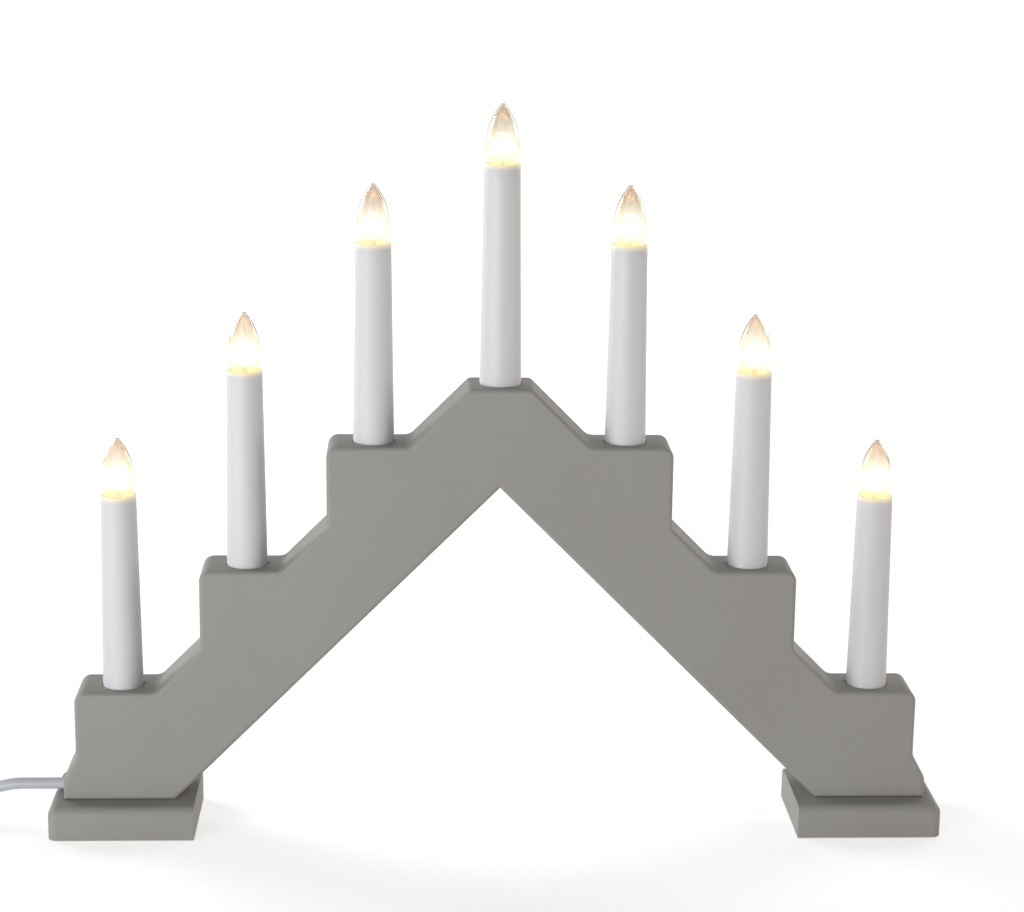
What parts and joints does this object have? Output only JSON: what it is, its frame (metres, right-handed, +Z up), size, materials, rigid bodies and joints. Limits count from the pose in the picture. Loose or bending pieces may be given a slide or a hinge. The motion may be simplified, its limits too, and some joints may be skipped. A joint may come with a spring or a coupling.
{
  "type": "electric candle arch",
  "caption": "Stepped inverted-V window candle arch in painted wood on block feet, with tapered sleeves, screw-in candle bulbs, wiring in a groove under the arms and a coiled mains lead.",
  "frame": {"origin": "on the table, midway between the feet, in the middle of the board's depth", "axes": "+X along the arch to the right seen from the front, +Y to the back, +Z up"},
  "size_m": [0.631, 0.0704, 0.3185],
  "materials": {
    "painted_wood": "matte warm grey paint",
    "beech": "bare wood",
    "screw_steel": "zinc plated",
    "sleeve_plastic": "satin white",
    "holder_plastic": "matte off-white",
    "brass": "bright",
    "bulb_glass": "clear",
    "filament": "glass stem, wire supports and a lit filament",
    "insulated_tip": "black glass insulator with a solder tip",
    "wire_sheath": "white wire sheath",
    "clamp_plastic": "matte white",
    "cord_sheath": "smooth white sheath",
    "tie_plastic": "white nylon",
    "plug_plastic": "moulded white",
    "plated_pins": "nickel plated"
  },
  "bodies": {
    "stand": {"left_arm": "painted_wood", "right_arm": "painted_wood", "apex_dowels": "beech", "left_groove_cover": "painted_wood", "right_groove_cover": "painted_wood", "left_foot": "painted_wood", "right_foot": "painted_wood", "foot_screws": "screw_steel", "candle_sleeve_1": "sleeve_plastic", "candle_sleeve_2": "sleeve_plastic", "candle_sleeve_3": "sleeve_plastic", "candle_sleeve_4": "sleeve_plastic", "candle_sleeve_5": "sleeve_plastic", "candle_sleeve_6": "sleeve_plastic", "candle_sleeve_7": "sleeve_plastic", "lampholders": "holder_plastic", "socket_shells": "brass", "centre_contacts": "brass", "link_wires": "wire_sheath", "feed_wire": "wire_sheath", "return_wire": "wire_sheath", "cord_clamp": "clamp_plastic", "clamp_screws": "screw_steel", "cord_lead": "cord_sheath", "cord_coil": "cord_sheath", "cord_tail": "cord_sheath", "coil_tie": "tie_plastic", "plug_body": "plug_plastic", "plug_pins": "plated_pins"},
    "bulb_1_carrier": {"bulb_tip_1": "insulated_tip"},
    "bulb_1": {"bulb_glass_1": "bulb_glass", "bulb_cap_1": "brass", "bulb_filament_1": "filament"},
    "bulb_2_carrier": {"bulb_tip_2": "insulated_tip"},
    "bulb_2": {"bulb_glass_2": "bulb_glass", "bulb_cap_2": "brass", "bulb_filament_2": "filament"},
    "bulb_3_carrier": {"bulb_tip_3": "insulated_tip"},
    "bulb_3": {"bulb_glass_3": "bulb_glass", "bulb_cap_3": "brass", "bulb_filament_3": "filament"},
    "bulb_4_carrier": {"bulb_tip_4": "insulated_tip"},
    "bulb_4": {"bulb_glass_4": "bulb_glass", "bulb_cap_4": "brass", "bulb_filament_4": "filament"},
    "bulb_5_carrier": {"bulb_tip_5": "insulated_tip"},
    "bulb_5": {"bulb_glass_5": "bulb_glass", "bulb_cap_5": "brass", "bulb_filament_5": "filament"},
    "bulb_6_carrier": {"bulb_tip_6": "insulated_tip"},
    "bulb_6": {"bulb_glass_6": "bulb_glass", "bulb_cap_6": "brass", "bulb_filament_6": "filament"},
    "bulb_7_carrier": {"bulb_tip_7": "insulated_tip"},
    "bulb_7": {"bulb_glass_7": "bulb_glass", "bulb_cap_7": "brass", "bulb_filament_7": "filament"}
  },
  "joints": [
    {"name": "bulb_1_rise", "type": "slide", "parent": "stand", "child": "bulb_1_carrier", "axis": [0, 0, 1], "range_m": [0, 0.0091]},
    {"name": "bulb_1_turn", "type": "hinge", "parent": "bulb_1_carrier", "child": "bulb_1", "pos_m": [-0.1643, 0, 0], "axis": [0, 0, 1], "range_deg": [0, 1800]},
    {"name": "bulb_2_rise", "type": "slide", "parent": "stand", "child": "bulb_2_carrier", "axis": [0, 0, 1], "range_m": [0, 0.0091]},
    {"name": "bulb_2_turn", "type": "hinge", "parent": "bulb_2_carrier", "child": "bulb_2", "pos_m": [-0.1093, 0, 0], "axis": [0, 0, 1], "range_deg": [0, 1800]},
    {"name": "bulb_3_rise", "type": "slide", "parent": "stand", "child": "bulb_3_carrier", "axis": [0, 0, 1], "range_m": [0, 0.0091]},
    {"name": "bulb_3_turn", "type": "hinge", "parent": "bulb_3_carrier", "child": "bulb_3", "pos_m": [-0.0543, 0, 0], "axis": [0, 0, 1], "range_deg": [0, 1800]},
    {"name": "bulb_4_rise", "type": "slide", "parent": "stand", "child": "bulb_4_carrier", "axis": [0, 0, 1], "range_m": [0, 0.0091]},
    {"name": "bulb_4_turn", "type": "hinge", "parent": "bulb_4_carrier", "child": "bulb_4", "pos_m": [0, 0, 0], "axis": [0, 0, 1], "range_deg": [0, 1800]},
    {"name": "bulb_5_rise", "type": "slide", "parent": "stand", "child": "bulb_5_carrier", "axis": [0, 0, 1], "range_m": [0, 0.0091]},
    {"name": "bulb_5_turn", "type": "hinge", "parent": "bulb_5_carrier", "child": "bulb_5", "pos_m": [0.0543, 0, 0], "axis": [0, 0, 1], "range_deg": [0, 1800]},
    {"name": "bulb_6_rise", "type": "slide", "parent": "stand", "child": "bulb_6_carrier", "axis": [0, 0, 1], "range_m": [0, 0.0091]},
    {"name": "bulb_6_turn", "type": "hinge", "parent": "bulb_6_carrier", "child": "bulb_6", "pos_m": [0.1093, 0, 0], "axis": [0, 0, 1], "range_deg": [0, 1800]},
    {"name": "bulb_7_rise", "type": "slide", "parent": "stand", "child": "bulb_7_carrier", "axis": [0, 0, 1], "range_m": [0, 0.0091]},
    {"name": "bulb_7_turn", "type": "hinge", "parent": "bulb_7_carrier", "child": "bulb_7", "pos_m": [0.1643, 0, 0], "axis": [0, 0, 1], "range_deg": [0, 1800]}
  ],
  "couplings": [
    {"joint": "bulb_1_rise", "follows": "bulb_1_turn", "m_per_rad": 0.00028871},
    {"joint": "bulb_2_rise", "follows": "bulb_2_turn", "m_per_rad": 0.00028871},
    {"joint": "bulb_3_rise", "follows": "bulb_3_turn", "m_per_rad": 0.00028871},
    {"joint": "bulb_4_rise", "follows": "bulb_4_turn", "m_per_rad": 0.00028871},
    {"joint": "bulb_5_rise", "follows": "bulb_5_turn", "m_per_rad": 0.00028871},
    {"joint": "bulb_6_rise", "follows": "bulb_6_turn", "m_per_rad": 0.00028871},
    {"joint": "bulb_7_rise", "follows": "bulb_7_turn", "m_per_rad": 0.00028871}
  ]
}
